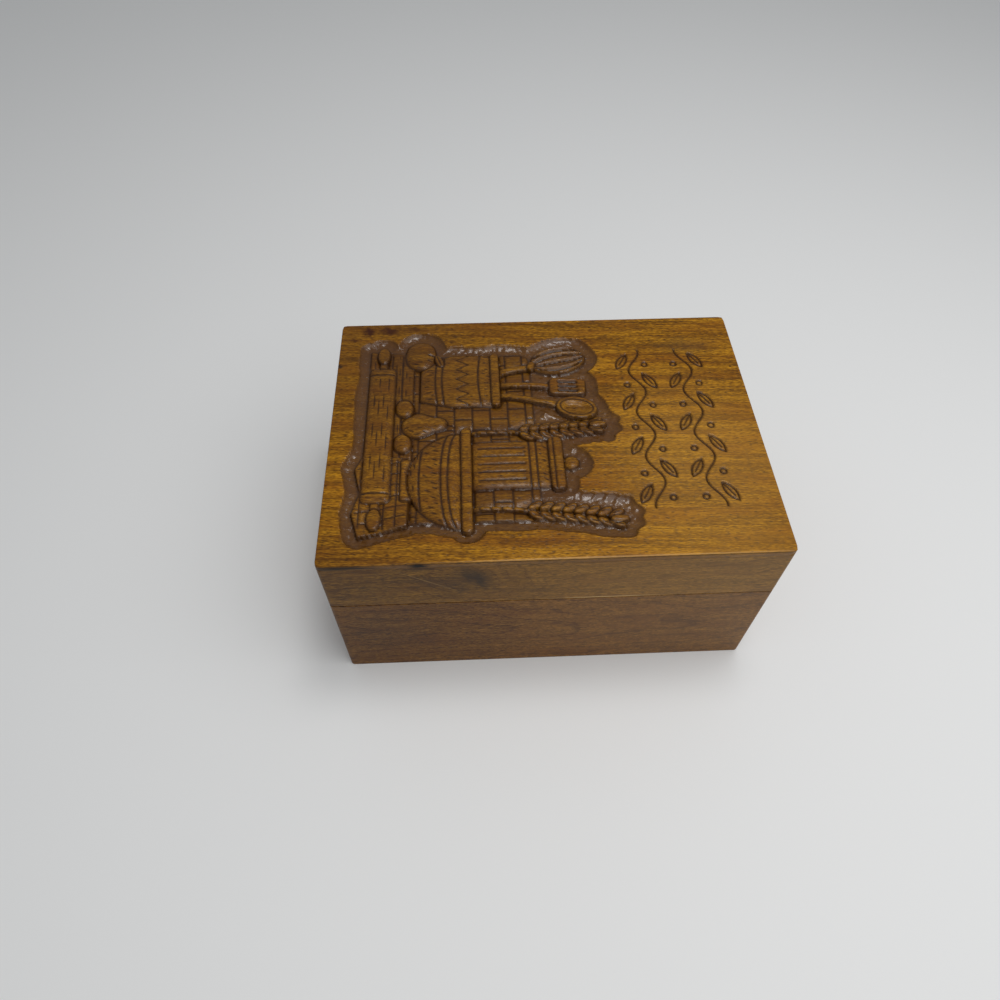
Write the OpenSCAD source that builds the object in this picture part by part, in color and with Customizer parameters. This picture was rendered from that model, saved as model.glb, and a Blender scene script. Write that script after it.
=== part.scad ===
// Wooden recipe card box with a hinged, carved lid.
// Origin: centre of the underside. +Z is up, the opening front faces -Y,
// the hinges are at +Y and the long sides face -X (left) and +X (right).

/* [Box] */
// Outside width, along X
box_w = 181; // [168:1:220]
// Outside length, along Y
box_l = 248; // [236:1:300]
// Height of the closed box
box_h = 121; // [114:1:160]
// Height of the base, up to its rim
base_h = 78; // [70:1:84]
// Gap between the base's rim and the lid's rim, set by the hinges
seam_gap = 0.4; // [0.2:0.1:0.8]
// Thickness of the side boards
wall_t = 9.5; // [9:0.5:12]
// Radius of the upright outside corners
corner_r = 2.5; // [1:0.25:3]
// Thickness left outside each corner rabbet
rabbet_lip = 3.2; // [3:0.1:5]

/* [Bottom panel] */
// Thickness of the bottom panel
bottom_t = 6; // [4:0.5:8]
// Width of the rabbet that holds the panel, flush with the boards' lower edges
panel_seat_w = 5; // [3:0.5:6]
// Room left for the panel to move in its rabbet
panel_play = 0.3; // [0.2:0.1:0.8]

/* [Lid top] */
// Thickness of the lid's top board
top_t = 11; // [10:0.5:14]
// Thickness of the top board where it laps the lid's frame
top_lip = 4.5; // [4:0.25:5.5]
// Clearance between the top board's tongue and the frame
tongue_fit = 0.15; // [0.1:0.05:0.3]
// Rounding of the lid's upper edges
top_edge_r = 1.5; // [1:0.25:3]

/* [Carving] */
// Width and length of the square field that holds the carving
carving_size = 151; // [120:1:156]
// Distance from the lid's front edge to the carved field
carving_front = 11; // [8:1:16]
// Depth of the sunken ground
carving_d = 3; // [1.5:0.25:4]
// Depth of the wall and table behind the still life
backdrop_d = 1.25; // [0.5:0.25:2]
// Width of the sunken ground around the picture
trench_w = 7; // [4:0.5:8]
// Depth of the cut leaf borders behind the picture
border_d = 0.8; // [0.4:0.1:1.5]
// Distance from the carved field to the first leaf border
border_gap = 21; // [16:1:22]
// Distance between the two leaf borders
border_pitch = 31; // [25:1:31]
// Distance from one leaf to the next along a border
leaf_pitch = 17; // [15:1:20]
// Length of a cut leaf
leaf_len = 14; // [10:1:14]
// Width of a cut leaf
leaf_wide = 5; // [4:0.5:7]
// Angle at which the leaves lean to either side
leaf_tilt = 30; // [0:5:40]
// Distance from the middle of a border to the middle of each of its leaves
leaf_lift = 7.5; // [4:0.5:8]

/* [Hinges] */
// Length of each hinge, along its pin
hinge_len = 25; // [20:1:32]
// Distance from each side of the box to the near end of its hinge
hinge_inset = 21.5; // [14:0.5:30]
// Width of a leaf on the wood
leaf_w = 7.5; // [7:0.25:8.5]
// Thickness of a leaf
leaf_t = 1.2; // [1:0.1:1.6]
// Outside radius of the knuckles
knuckle_r = 2.5; // [2.3:0.1:2.8]
// Radius of the hinge pins
pin_r = 1.1; // [0.9:0.05:1.3]
// Radial running clearance of the lid's knuckle on the pin
pin_fit = 0.05; // [0.03:0.01:0.1]
// Gap between neighbouring knuckles, and between the barrel and the wood
knuckle_gap = 0.3; // [0.2:0.05:0.5]
// Radius of the heads that hold the pin
pin_head_r = 1.7; // [1.5:0.1:2]
// Thickness of the pin's heads
pin_head_t = 0.6; // [0.4:0.1:1]
// Angle at which the heels meet and stop the lid
open_angle = 100; // [90:1:110]
// How far the heels stand out from the knuckles
heel_t = 1.5; // [1:0.1:2]
// Arc of each heel around the pin
heel_arc = 38; // [25:1:40]

/* [Screws] */
// Radius of a screw's head
screw_head_r = 2.1; // [1.8:0.1:2.3]
// Radius of a screw's shank
screw_r = 1.05; // [0.9:0.05:1.2]
// Length of a screw
screw_len = 8; // [6:0.5:12]
// Distance from a leaf's end to the middle of its screw
screw_inset = 5.5; // [4:0.5:7]
// Width of the slot in a screw's head
slot_w = 0.5; // [0.4:0.1:0.8]
// Depth of the slot in a screw's head
slot_d = 0.6; // [0.4:0.1:0.8]

/* [Hidden] */
$fn = 48;

side_wood = "#6b5138";
top_wood = "#8c6426";
inside_wood = "#7d5f40";
hinge_brass = "#b08d3f";

eps = 0.01;
inner_w = box_w - 2 * wall_t;
inner_l = box_l - 2 * wall_t;
cross_len = box_w - 2 * rabbet_lip;
lid_z = base_h + seam_gap;
frame_top = box_h - top_lip;
axis_y = box_l / 2 + knuckle_r + knuckle_gap;
axis_z = base_h + seam_gap / 2;
heel_gap = knuckle_gap;
heel_in = knuckle_r + heel_gap;
heel_out = knuckle_r + heel_gap + heel_t;
stop_slack = 0.5;
lid_heel_end = 35;
base_heel_start = lid_heel_end + open_angle + stop_slack;
knuckle_len = (hinge_len - 2 * knuckle_gap) / 3;
screw_y = box_l / 2 - leaf_w / 2;
hinge_spacing = box_w - 2 * hinge_inset - hinge_len;
carving_mid = -box_l / 2 + carving_front + carving_size / 2;
unit = carving_size / 100;

// A rectangle in plan with round corners, centred on the origin
module rounded_plan(w, l, r) {
    square([w - 2 * r, l], center = true);
    square([w, l - 2 * r], center = true);
    for (x = [-1, 1], y = [-1, 1])
        translate([x * (w / 2 - r), y * (l / 2 - r)]) circle(r);
}

// Extrudes a YZ outline along X, from x0 to x1
module along_x(x0, x1) {
    translate([x0, 0, 0]) rotate([90, 0, 90]) linear_extrude(x1 - x0) children();
}

// Extrudes an XZ outline along Y, centred on the origin
module along_y(len) {
    translate([0, len / 2, 0]) rotate([90, 0, 0]) linear_extrude(len) children();
}

// Keeps what lies inside the box's rounded outline
module trimmed(z0, z1) {
    intersection() {
        children();
        translate([0, 0, z0]) linear_extrude(z1 - z0) rounded_plan(box_w, box_l, corner_r);
    }
}

// A long side board, side = 1 at +X or -1 at -X, rabbeted at both ends for the short boards
module long_board(side, z0, z1) {
    trimmed(z0, z1) difference() {
        translate([side > 0 ? inner_w / 2 : -box_w / 2, -box_l / 2, z0])
            cube([wall_t, box_l, z1 - z0]);
        for (end = [-1, 1])
            translate([-cross_len / 2, end > 0 ? inner_l / 2 : -box_l / 2 - eps, z0 - eps])
                cube([cross_len, wall_t + eps, z1 - z0 + 2 * eps]);
    }
}

// A short board, end = 1 at the back or -1 at the front, which fits between the rabbets
module short_board(end, z0, z1) {
    translate([-cross_len / 2, end > 0 ? inner_l / 2 : -box_l / 2, z0])
        cube([cross_len, wall_t, z1 - z0]);
}

// The rabbet that the bottom panel lies in, around the base's lower inside edges
module panel_seat() {
    translate([-inner_w / 2 - panel_seat_w, -inner_l / 2 - panel_seat_w, -eps])
        cube([inner_w + 2 * panel_seat_w, inner_l + 2 * panel_seat_w, bottom_t + eps]);
}

// The pockets that the hinge leaves lie in, from z0 to z1
module leaf_pockets(z0, z1) {
    for (side = [-1, 1])
        translate([side * hinge_spacing / 2 - hinge_len / 2, box_l / 2 - leaf_w, z0])
            cube([hinge_len, leaf_w + eps, z1 - z0]);
}

// Both screws of each hinge leaf, at z, pointing up or down
module at_screws(z, up) {
    for (side = [-1, 1], end = [-1, 1])
        translate([side * hinge_spacing / 2 + end * (hinge_len / 2 - screw_inset), screw_y, z])
            rotate([up ? 180 : 0, 0, 0]) children();
}

// A countersunk screw whose head's top is at z = 0 and whose tip points down
module screw_body() {
    translate([0, 0, -leaf_t]) cylinder(h = leaf_t, r1 = screw_r, r2 = screw_head_r);
    translate([0, 0, -screw_len + 2 * screw_r])
        cylinder(h = screw_len - leaf_t - 2 * screw_r + eps, r = screw_r);
    translate([0, 0, -screw_len])
        cylinder(h = 2 * screw_r + eps, r1 = screw_r / 5, r2 = screw_r);
}

module screw() {
    difference() {
        screw_body();
        translate([-screw_head_r - eps, -slot_w / 2, -slot_d])
            cube([2 * (screw_head_r + eps), slot_w, slot_d + eps]);
    }
}

// A slice of a ring around the hinge pin; angles run from +Z towards +Y
module ring_slice(r_in, r_out, a0, a1) {
    far = 2 * r_out;
    steps = 4;
    intersection() {
        difference() {
            circle(r_out);
            circle(r_in);
        }
        polygon(concat([[0, 0]], [for (i = [0:steps])
            let (a = a0 + (a1 - a0) * i / steps) [far * sin(a), far * cos(a)]]));
    }
}

// The hinge is drawn around its pin axis and then carried to its place
module at_hinge(side) {
    translate([side * hinge_spacing / 2, axis_y, axis_z]) children();
}

// A leaf's plate; top = 1 for the lid's leaf and -1 for the base's leaf
module leaf_plate(top) {
    near_z = top > 0 ? seam_gap / 2 : -seam_gap / 2 - leaf_t;
    translate([-hinge_len / 2, -(axis_y - box_l / 2) - leaf_w, near_z])
        cube([hinge_len, leaf_w + axis_y - box_l / 2, leaf_t]);
}

// Section of a heel, which starts at an angle and stands out from the knuckles
module heel_section(start) {
    ring_slice((pin_r + knuckle_r) / 2, heel_out, start, start + heel_arc);
}

// The base's leaf: two outer knuckles, which hold the pin, and a fixed heel
module base_leaf(side) {
    at_hinge(side) difference() {
        union() {
            leaf_plate(-1);
            along_x(-hinge_len / 2, hinge_len / 2) circle(knuckle_r);
            along_x(-hinge_len / 2, hinge_len / 2) heel_section(base_heel_start);
        }
        along_x(-hinge_len / 2 - eps, hinge_len / 2 + eps) circle(pin_r);
        along_x(-knuckle_len / 2 - knuckle_gap, knuckle_len / 2 + knuckle_gap)
            circle(heel_in);
        for (end = [-1, 1])
            translate([end * (hinge_len / 2 - screw_inset), screw_y - axis_y, -seam_gap / 2])
                screw_body();
    }
}

// The lid's leaf: one middle knuckle, which turns on the pin, and a moving heel
module lid_leaf(side) {
    at_hinge(side) difference() {
        union() {
            leaf_plate(1);
            along_x(-hinge_len / 2, hinge_len / 2) circle(knuckle_r);
            along_x(-hinge_len / 2, hinge_len / 2) heel_section(lid_heel_end - heel_arc);
        }
        along_x(-hinge_len / 2 - eps, hinge_len / 2 + eps) circle(pin_r + pin_fit);
        for (end = [-1, 1]) {
            x0 = end > 0 ? knuckle_len / 2 : -hinge_len / 2 - eps;
            along_x(x0, x0 + (hinge_len - knuckle_len) / 2 + eps) circle(heel_in);
        }
        for (end = [-1, 1])
            translate([end * (hinge_len / 2 - screw_inset), screw_y - axis_y, seam_gap / 2])
                rotate([180, 0, 0]) screw_body();
    }
}

module hinge_pin(side) {
    at_hinge(side) {
        along_x(-hinge_len / 2, hinge_len / 2) circle(pin_r);
        for (end = [-1, 1]) {
            x0 = end > 0 ? hinge_len / 2 : -hinge_len / 2 - pin_head_t;
            along_x(x0, x0 + pin_head_t) circle(pin_head_r);
        }
    }
}

// Outline of a tapered pot standing at y = 0, grown by g all round
module pot_shape(foot, rim, h, g) {
    polygon([[-foot - g, -g], [foot + g, -g], [rim + g, h + g], [-rim - g, h + g]]);
}

// A bar between two points with round ends
module bar_shape(p, q, r) {
    translate(p) circle(r);
    translate(q) circle(r);
    translate(p) rotate(atan2(q[1] - p[1], q[0] - p[0]))
        translate([0, -r]) square([norm(q - p), 2 * r]);
}

// A pointed leaf along x, with its tips at half_len each side
module leaf_shape(half_len, half_w) {
    r = (pow(half_len, 2) + pow(half_w, 2)) / (2 * half_w);
    intersection() {
        translate([0, half_w - r]) circle(r);
        translate([0, r - half_w]) circle(r);
    }
}

// A block with round corners, centred, grown by g
module block_shape(w, h, r, g) {
    square([w + 2 * g, h - 2 * r], center = true);
    square([w - 2 * r, h + 2 * g], center = true);
    for (x = [-1, 1], y = [-1, 1])
        translate([x * (w / 2 - r), y * (h / 2 - r)]) circle(r + g);
}

// A closed outline through points, grown by g
module outline_shape(points, g) {
    polygon(points);
    if (g > 0)
        for (i = [0:len(points) - 1]) {
            p = points[i];
            q = points[(i + 1) % len(points)];
            translate(p) circle(g);
            translate(p) rotate(atan2(q[1] - p[1], q[0] - p[0]))
                translate([0, -g]) square([norm(q - p), 2 * g]);
        }
}

// What the still life stands in front of, in units of a hundredth of its field, grown by g:
// a tiled wall, and a table
module backdrop(g) {
    translate([1.3, -7]) block_shape(83.4, 55.6, 4.6, g);
    outline_shape([[-43.5, -44], [43.5, -44], [41, -26.5], [-41, -26.5]], g);
}

// The carved kitchen still life in the same units, every shape grown by g
module still_life(g) {
    // Stoneware crock with a whisk, a turner and a wooden spoon standing in it
    translate([-26, -22]) pot_shape(11, 14, 30, g);
    bar_shape([-29, 5], [-34, 22], 1.7 + g);
    translate([-35.4, 29]) circle(7.4 + g);
    translate([-36.9, 36]) circle(7.8 + g);
    bar_shape([-23, 6], [-21.6, 29], 1.3 + g);
    bar_shape([-21.6, 32.4], [-21.6, 38.2], 4.2 + g);
    bar_shape([-18, 6], [-11.6, 31.5], 1.3 + g);
    bar_shape([-10, 35.6], [-8.8, 40.6], 5.6 + g);
    // Lidded canister behind the bowl
    translate([18, -5]) pot_shape(11, 11, 31, g);
    bar_shape([7.9, 27.9], [28, 27.9], 2.6 + g);
    translate([18, 33]) circle(3.2 + g);
    // Mixing bowl with a rolled rim
    intersection() {
        translate([24, -5.6]) circle(22.2 + g);
        translate([-4, -30 - g]) square([56, 24.4 + g]);
    }
    bar_shape([1.7, -5.6], [46, -5.6], 2 + g);
    // Rolling pin lying in front
    bar_shape([-28.5, -38.7], [28.5, -38.7], 5.3 + g);
    bar_shape([-43, -38.7], [43, -38.7], 2.6 + g);
    // Apple beside the crock and pear beside the bowl
    translate([-41, -23.5]) circle(7.8 + g);
    bar_shape([-2.7, -24.2], [-3, -17], 4.6 + g);
    // Two ears of wheat that stand above the wall
    for (i = [0:5]) translate([38.9 + i * 0.85, 18 + i * 5.6]) circle(3.7 + g);
    for (i = [0:5]) translate([1.8 - i * 0.45, 16.3 + i * 5.4]) circle(3.6 + g);
}

// The whole picture's outline, grown by g
module picture(g) {
    backdrop(g);
    still_life(g);
}

// Two borders of cut leaves behind the picture
module leaf_borders() {
    pairs = floor(carving_size / (2 * leaf_pitch)) - 1;
    for (row = [0, 1], i = [-pairs:pairs]) {
        side = (i % 2 == 0 ? 1 : -1) * (row == 0 ? 1 : -1);
        row_y = carving_mid + carving_size / 2 + border_gap + row * border_pitch;
        translate([i * leaf_pitch, row_y + side * leaf_lift])
            rotate([0, 0, side * leaf_tilt]) leaf_shape(leaf_len / 2, leaf_wide / 2);
    }
}

// The lid's top board: a lapped edge that rests on the frame and a tongue inside it
module top_board() {
    tongue_w = inner_w - 2 * tongue_fit;
    tongue_l = inner_l - 2 * tongue_fit;
    translate([-tongue_w / 2, -tongue_l / 2, box_h - top_t])
        cube([tongue_w, tongue_l, top_t - top_lip + eps]);
    intersection() {
        trimmed(frame_top, box_h)
            translate([-box_w / 2, -box_l / 2, frame_top]) cube([box_w, box_l, top_lip]);
        translate([0, 0, frame_top]) along_y(box_l) edge_profile(box_w);
        translate([0, 0, frame_top]) along_x(-box_w / 2, box_w / 2) edge_profile(box_l);
    }
}

// Section through the top board's lapped edge, rounded at both upper corners
module edge_profile(w) {
    translate([-w / 2, 0]) square([w, top_lip - top_edge_r]);
    translate([-w / 2 + top_edge_r, 0]) square([w - 2 * top_edge_r, top_lip]);
    for (side = [-1, 1]) translate([side * (w / 2 - top_edge_r), top_lip - top_edge_r])
        circle(top_edge_r);
}

module base_front() {
    color(side_wood) difference() {
        short_board(-1, 0, base_h);
        panel_seat();
    }
}

module base_back() {
    color(side_wood) difference() {
        short_board(1, 0, base_h);
        panel_seat();
        leaf_pockets(base_h - leaf_t, base_h + eps);
        at_screws(base_h, false) screw_body();
    }
}

module base_left() {
    color(side_wood) difference() {
        long_board(-1, 0, base_h);
        panel_seat();
    }
}

module base_right() {
    color(side_wood) difference() {
        long_board(1, 0, base_h);
        panel_seat();
    }
}

module base_bottom() {
    reach = panel_seat_w - panel_play;
    color(inside_wood) translate([-inner_w / 2 - reach, -inner_l / 2 - reach, 0])
        cube([inner_w + 2 * reach, inner_l + 2 * reach, bottom_t]);
}

module lid_front() {
    color(side_wood) short_board(-1, lid_z, frame_top);
}

module lid_back() {
    color(side_wood) difference() {
        short_board(1, lid_z, frame_top);
        leaf_pockets(lid_z - eps, lid_z + leaf_t);
        at_screws(lid_z, true) screw_body();
    }
}

module lid_left() {
    color(side_wood) long_board(-1, lid_z, frame_top);
}

module lid_right() {
    color(side_wood) long_board(1, lid_z, frame_top);
}

module lid_top() {
    color(top_wood) difference() {
        top_board();
        translate([0, carving_mid, box_h - carving_d])
            linear_extrude(carving_d + eps) difference() {
                scale(unit) picture(trench_w / unit);
                scale(unit) picture(0);
            }
        translate([0, carving_mid, box_h - backdrop_d])
            linear_extrude(backdrop_d + eps) difference() {
                scale(unit) backdrop(0);
                scale(unit) still_life(0);
            }
        translate([0, 0, box_h - border_d]) linear_extrude(border_d + eps) leaf_borders();
    }
}

module left_hinge_base_leaf() { color(hinge_brass) base_leaf(-1); }
module left_hinge_lid_leaf() { color(hinge_brass) lid_leaf(-1); }
module left_hinge_pin() { color(hinge_brass) hinge_pin(-1); }
module right_hinge_base_leaf() { color(hinge_brass) base_leaf(1); }
module right_hinge_lid_leaf() { color(hinge_brass) lid_leaf(1); }
module right_hinge_pin() { color(hinge_brass) hinge_pin(1); }
module base_hinge_screws() { color(hinge_brass) at_screws(base_h, false) screw(); }
module lid_hinge_screws() { color(hinge_brass) at_screws(lid_z, true) screw(); }

base_front();
base_back();
base_left();
base_right();
base_bottom();
lid_front();
lid_back();
lid_left();
lid_right();
lid_top();
left_hinge_base_leaf();
left_hinge_lid_leaf();
left_hinge_pin();
right_hinge_base_leaf();
right_hinge_lid_leaf();
right_hinge_pin();
base_hinge_screws();
lid_hinge_screws();
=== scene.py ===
"""Looks of a walnut recipe card box with a deep hinged lid, carved on top.

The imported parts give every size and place. This file dresses them: it eases the edges of the
boards, carves the lid's top board, and gives the wood and the brass their finish.
Lengths in the carving and of marks in the wood are in millimetres, all others in metres.
"""

import logging
import math
from dataclasses import dataclass, field, replace
from enum import Enum

import bmesh
import bpy
import numpy as np
from mathutils import Matrix, Vector

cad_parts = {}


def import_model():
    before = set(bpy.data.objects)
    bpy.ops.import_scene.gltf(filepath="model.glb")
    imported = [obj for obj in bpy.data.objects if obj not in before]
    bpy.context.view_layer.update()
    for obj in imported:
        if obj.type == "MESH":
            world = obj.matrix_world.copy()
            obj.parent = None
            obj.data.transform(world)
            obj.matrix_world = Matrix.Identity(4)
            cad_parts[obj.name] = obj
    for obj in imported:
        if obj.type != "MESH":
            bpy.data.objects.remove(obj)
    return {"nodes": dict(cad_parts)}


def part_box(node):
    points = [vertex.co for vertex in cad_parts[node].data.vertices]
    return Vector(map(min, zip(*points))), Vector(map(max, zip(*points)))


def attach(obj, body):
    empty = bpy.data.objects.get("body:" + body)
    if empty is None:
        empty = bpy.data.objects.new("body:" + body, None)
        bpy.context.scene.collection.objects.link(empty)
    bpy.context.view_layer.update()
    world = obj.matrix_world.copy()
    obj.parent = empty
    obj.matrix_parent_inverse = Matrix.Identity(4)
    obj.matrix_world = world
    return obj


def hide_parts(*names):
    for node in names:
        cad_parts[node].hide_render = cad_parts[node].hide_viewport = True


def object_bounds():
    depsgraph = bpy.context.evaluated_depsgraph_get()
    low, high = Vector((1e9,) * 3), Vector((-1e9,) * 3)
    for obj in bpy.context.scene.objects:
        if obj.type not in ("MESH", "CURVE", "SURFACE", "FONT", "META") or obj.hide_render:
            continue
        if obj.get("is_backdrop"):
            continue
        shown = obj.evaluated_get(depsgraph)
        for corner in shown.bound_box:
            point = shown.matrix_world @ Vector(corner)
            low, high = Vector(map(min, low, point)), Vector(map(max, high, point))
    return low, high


MM = 0.001
log = logging.getLogger("recipe_box")

Grid = np.ndarray
Pair = tuple[float, float]
Triple = tuple[float, float, float]
Tree = bpy.types.NodeTree
Socket = bpy.types.NodeSocket


class Grain(Enum):
    """Direction in which a board's grain runs."""

    ALONG_X = "X"
    ALONG_Y = "Y"


class Body(Enum):
    """The two bodies that the hinge joins."""

    BASE = "base"
    LID = "lid"


class Curve(Enum):
    """How a number rises between two ends."""

    STRAIGHT = "LINEAR"
    SMOOTH = "SMOOTHSTEP"
    SMOOTHER = "SMOOTHERSTEP"


def linear(hex_colour: str) -> tuple[float, float, float, float]:
    """Turns an sRGB hex colour into linear light.

    Args:
        hex_colour: Six hex digits with a leading hash mark.

    Returns:
        Red, green, blue and an alpha of 1.
    """
    channels = [int(hex_colour[i : i + 2], 16) / 255 for i in (1, 3, 5)]
    red, green, blue = (
        c / 12.92 if c <= 0.04045 else ((c + 0.055) / 1.055) ** 2.4 for c in channels
    )
    return red, green, blue, 1.0


def new_material(name: str) -> tuple[bpy.types.Material, Tree]:
    """Makes an empty node material and returns it with its tree."""
    material = bpy.data.materials.new(name)
    material.use_nodes = True
    material.node_tree.nodes.clear()
    return material, material.node_tree


def add_node(
    tree: Tree, kind: str, inputs: dict[str | int, object] | None = None, **settings: object
) -> bpy.types.Node:
    """Adds a shader node, sets its properties, and fills or links its inputs.

    Args:
        tree: The material's node tree.
        kind: The node's type name without its "ShaderNode" prefix.
        inputs: Input name or number to a value, or to the output socket that feeds it.
        **settings: Properties of the node itself.

    Returns:
        The new node.
    """
    node = tree.nodes.new("ShaderNode" + kind)
    for name, value in settings.items():
        setattr(node, name, value)
    for name, value in (inputs or {}).items():
        if isinstance(value, bpy.types.NodeSocket):
            tree.links.new(value, node.inputs[name])
        else:
            node.inputs[name].default_value = value
    return node


def add_object(name: str, data: bpy.types.ID) -> bpy.types.Object:
    """Adds an object with that data to the scene, at the origin."""
    piece = bpy.data.objects.new(name, data)
    bpy.context.scene.collection.objects.link(piece)
    return piece


def compute(tree: Tree, operation: str, *terms: object, **settings: object) -> Socket:
    """One step of arithmetic on numbers and sockets."""
    inputs = dict(enumerate(terms))
    return add_node(tree, "Math", inputs, operation=operation, **settings).outputs[0]


def weighted_sum(tree: Tree, *terms: tuple[Socket, float]) -> Socket:
    """Adds up sockets, each times its weight."""
    total: object = 0.0
    for socket, weight in terms:
        total = compute(tree, "MULTIPLY_ADD", socket, weight, total)
    return total


def remap(
    tree: Tree, value: Socket, source: Pair, target: Pair, curve: Curve = Curve.STRAIGHT
) -> Socket:
    """Takes the ends of source to the ends of target, and holds them beyond."""
    inputs = {"Value": value, "From Min": source[0], "From Max": source[1]}
    inputs |= {"To Min": target[0], "To Max": target[1]}
    return add_node(tree, "MapRange", inputs, interpolation_type=curve.value).outputs[0]


def mix(tree: Tree, factor: Socket, first: object, second: object) -> Socket:
    """Mixes two colours by a factor."""
    return add_node(tree, "Mix", {0: factor, 6: first, 7: second}, data_type="RGBA").outputs[2]


def length(tree: Tree, vector: Socket) -> Socket:
    """Length of a vector."""
    return add_node(tree, "VectorMath", {0: vector}, operation="LENGTH").outputs["Value"]


def noise(
    tree: Tree, place: Socket, scale: float, detail: float, roughness: float = 0.5
) -> Socket:
    """Noise around 0.5 with that many grains to a unit of place."""
    inputs = {"Vector": place, "Scale": scale, "Detail": detail, "Roughness": roughness}
    return add_node(tree, "TexNoise", inputs).outputs["Fac"]


def bump(
    tree: Tree, height: Socket, strength: float, depth: float, below: Socket | None = None
) -> Socket:
    """Normal of a fine relief that is depth metres high, over the normal below it."""
    inputs = {"Height": height, "Strength": strength, "Distance": depth}
    inputs |= {"Normal": below} if below else {}
    return add_node(tree, "Bump", inputs).outputs[0]


def surface(tree: Tree, inputs: dict[str | int, object]) -> None:
    """Ends the tree in a principled surface with these inputs."""
    shader = add_node(tree, "BsdfPrincipled", inputs)
    add_node(tree, "OutputMaterial", {"Surface": shader.outputs[0]})


def in_grains(tree: Tree, place: Socket, size: Triple) -> Socket:
    """Coordinates in which a grain of that size, in metres, is one unit each way."""
    scale = tuple(1 / side for side in size)
    return add_node(tree, "Mapping", {"Vector": place, "Scale": scale}).outputs[0]


# A mark fades in between these distances, in its own radii, and has so many grains to a radius.
MARK_ENDS = (1.15, 0.2)
MARK_GRAINS = 1.7


@dataclass(frozen=True)
class Mark:
    """A knot, streak or stain, or a patch or line of painted light, shade or highlight, at one place
    in the wood.

    Attributes:
        centre: Place in the box's frame, in millimetres.
        radius: Half sizes along X, Y and Z before the turn, in millimetres.
        strength: How much of its colour shows, from 0 to 1.
        colour: Colour that it takes.
        turn: Angle about X, in degrees.
        ragged: How uneven its edge is.
        bend: How many rings the grain bends around it.
        open: Whether it is a gap in the wood, which the varnish leaves bare.
    """

    centre: Triple
    radius: Triple
    strength: float
    colour: str = "#2e1c10"
    turn: float = 0.0
    ragged: float = 0.9
    bend: float = 0.0
    open: bool = False

    def distance(self, tree: Tree, place: Socket) -> Socket:
        """Distance from its centre in units of its radius, with a ragged edge."""
        inputs = {
            "Vector": place,
            "Location": [value * MM for value in self.centre],
            "Rotation": (math.radians(self.turn), 0.0, 0.0),
            "Scale": [value * MM for value in self.radius],
        }
        local = add_node(tree, "Mapping", inputs, vector_type="TEXTURE").outputs[0]
        rough = compute(tree, "SUBTRACT", noise(tree, local, MARK_GRAINS, 3.0), 0.5)
        return weighted_sum(tree, (length(tree, local), 1.0), (rough, self.ragged))

    def amount(self, tree: Tree, distance: Socket) -> Socket:
        """How much of its colour shows, fading at its edge."""
        return remap(tree, distance, MARK_ENDS, (0.0, self.strength), Curve.SMOOTH)


@dataclass(frozen=True)
class Palette:
    """Colours of one log of walnut.

    Attributes:
        light: Colour of the early wood.
        middle: Colour of most of the wood.
        dark: Colour of its dark streaks.
        red: Colour of its warmer patches.
        ring: Colour of the line at the end of a ring.
        pore: Colour inside the pores.
        cut: Colour of the stain that settled in sunken places.
        line: Colour of the stain that settled in cut lines.
    """

    light: str = "#b57e16"
    middle: str = "#8a5b05"
    dark: str = "#5a3702"
    red: str = "#804a08"
    ring: str = "#532d05"
    pore: str = "#2c1904"
    cut: str = "#4d2d09"
    line: str = "#2a1507"


@dataclass(frozen=True)
class Rings:
    """Growth rings.

    Attributes:
        spacing: Width of a ring, in metres.
        strength: How dark the line at its end is, from 0 to 1.
        jag: How jagged that line is, in rings.
        start: Share of a ring where its wood begins to darken.
    """

    spacing: float = 0.0068
    strength: float = 0.42
    jag: float = 1.0
    start: float = 0.55


@dataclass(frozen=True)
class Variation:
    """One kind of unevenness in wood.

    Attributes:
        along: Length of its grains, in metres.
        across: Width of its grains, in metres.
        detail: Number of finer layers in it.
    """

    along: float
    across: float
    detail: float

    def noise(self, tree: Tree, trunk: Socket) -> Socket:
        """Noise whose grains have this size in the tree."""
        size = (self.along, self.across, self.across)
        return noise(tree, in_grains(tree, trunk, size), 1.0, self.detail, 0.62)


# Pores and fibre are drawn about twice as wide as real ones, which are too fine to show.
PORES = Variation(0.0034, 0.00048, 0.0)
FIBRE = Variation(0.0028, 0.00042, 1.0)
# Streaks, broad figure, warm patches, the drift of the rings and the teeth of their dark lines.
STREAKS = Variation(0.045, 0.0009, 3.0)
FIGURE = Variation(0.13, 0.007, 2.0)
WARM_PATCHES = Variation(0.05, 0.009, 1.0)
RING_DRIFT = Variation(0.09, 0.03, 2.0)
RING_TEETH = Variation(0.016, 0.0014, 2.0)

# Noise between the first and the second value fades from plain wood into a pore or a warm patch.
PORE_ENDS = (0.36, 0.27)
WARM_ENDS = (0.42, 0.75)
WARM_SHARE = 0.6
# Weights of streaks and fibre in the wood's tone, beside its figure.
STREAK_WEIGHT = 0.38
FIBRE_WEIGHT = 0.48
# The tone below and above the mean at which wood is fully dark or light.
DARK_SHIFT = -0.1
LIGHT_SHIFT = 0.11
# Share of a ring at which its line is darkest, how many rings the slow noise moves them by, and
# how many of a knot's radii off they begin to bend.
RING_END = 0.97
DRIFT_IN_RINGS = 3.2
KNOT_REACH = 2.4
# Fibre and streaks stand proud by these shares of a pore's depth, which is in metres.
FIBRE_HEIGHT = 0.35
STREAK_HEIGHT = 0.2
PORE_DEPTH = 0.00015
# Width and depth of the gouge's marks, in metres, and weight of the varnish that pooled there.
GOUGE_MARK = 0.0029
GOUGE_DEPTH = 0.001
POOLED_COAT = 0.8


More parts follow.
